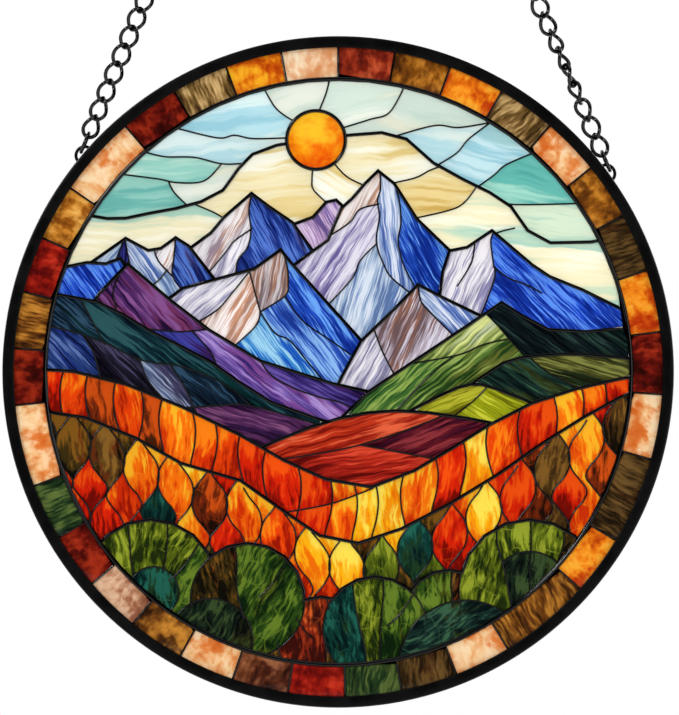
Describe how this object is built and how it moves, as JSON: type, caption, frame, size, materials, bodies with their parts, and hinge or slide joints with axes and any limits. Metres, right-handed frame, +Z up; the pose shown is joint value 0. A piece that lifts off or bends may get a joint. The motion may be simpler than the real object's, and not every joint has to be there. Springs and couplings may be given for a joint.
{
  "type": "stained glass suncatcher",
  "caption": "Round stained glass panel with a mountain sunrise and a border of coloured tiles, in a black metal rim, hung from a V of black curb chain.",
  "frame": {"origin": "the hanging point: the underside of the upper side of the chain's middle link, where a hook bears", "axes": "+Z up along the hanging object, +X to the right across the panel seen from its front, +Y from the front face to the back"},
  "size_m": [0.2, 0.007, 0.3504],
  "materials": {
    "black_metal": "satin black",
    "lead_line": "black patina, rounded",
    "chain_metal": "gloss black",
    "glass_rust": "streaky stained glass",
    "glass_amber": "streaky stained glass",
    "glass_orange": "streaky stained glass",
    "glass_olive": "streaky stained glass",
    "glass_peach": "streaky stained glass",
    "glass_dark_red": "streaky stained glass",
    "glass_brown": "streaky stained glass",
    "glass_green": "streaky stained glass",
    "glass_gold": "streaky stained glass",
    "glass_mauve": "streaky stained glass",
    "glass_red": "streaky stained glass",
    "glass_umber": "streaky stained glass",
    "glass_sun": "streaky stained glass",
    "glass_sky": "streaky stained glass",
    "glass_cloud": "streaky stained glass",
    "glass_ice_blue": "streaky stained glass",
    "glass_blue": "streaky stained glass",
    "glass_snow": "streaky stained glass",
    "glass_pink": "streaky stained glass",
    "glass_violet": "streaky stained glass",
    "glass_teal": "streaky stained glass",
    "glass_hill": "streaky stained glass",
    "glass_dark_hill": "streaky stained glass",
    "glass_lime": "streaky stained glass",
    "glass_red_hill": "streaky stained glass",
    "glass_flame": "streaky stained glass",
    "glass_leaf": "streaky stained glass",
    "glass_bush": "streaky stained glass"
  },
  "bodies": {
    "root": {"rim": "black_metal", "leading": "lead_line", "leaf_row_glass": "glass_leaf", "orange_band_glass": "glass_flame", "red_hill_glass": "glass_red_hill", "low_green_glass": "glass_lime", "dark_hill_glass": "glass_dark_hill", "green_hill_glass": "glass_hill", "teal_hill_glass": "glass_teal", "purple_hill_glass": "glass_violet", "blue_shoulder_glass": "glass_blue", "front_right_peak_glass": "glass_ice_blue", "front_left_peak_glass": "glass_snow", "right_peak_glass": "glass_blue", "main_peak_glass": "glass_ice_blue", "far_peaks_glass": "glass_snow", "left_peak_glass": "glass_blue", "pink_peak_glass": "glass_pink", "cloud_glass": "glass_cloud", "bush_glass": "glass_bush", "sky_glass": "glass_sky", "sun_glass": "glass_sun", "border_tile_01": "glass_rust", "border_tile_02": "glass_amber", "border_tile_03": "glass_orange", "border_tile_04": "glass_olive", "border_tile_05": "glass_peach", "border_tile_06": "glass_amber", "border_tile_07": "glass_brown", "border_tile_08": "glass_orange", "border_tile_09": "glass_dark_red", "border_tile_10": "glass_peach", "border_tile_11": "glass_brown", "border_tile_12": "glass_orange", "border_tile_13": "glass_umber", "border_tile_14": "glass_peach", "border_tile_15": "glass_brown", "border_tile_16": "glass_green", "border_tile_17": "glass_red", "border_tile_18": "glass_mauve", "border_tile_19": "glass_peach", "border_tile_20": "glass_amber", "border_tile_21": "glass_mauve", "border_tile_22": "glass_dark_red", "border_tile_23": "glass_green", "border_tile_24": "glass_peach", "border_tile_25": "glass_dark_red", "border_tile_26": "glass_umber", "border_tile_27": "glass_red", "border_tile_28": "glass_gold", "border_tile_29": "glass_peach", "border_tile_30": "glass_dark_red", "border_tile_31": "glass_olive", "border_tile_32": "glass_orange", "border_tile_33": "glass_peach", "hanging_link": "chain_metal", "jump_ring_left": "chain_metal", "chain_left": "chain_metal", "jump_ring_right": "chain_metal", "chain_right": "chain_metal"}
  },
  "joints": []
}
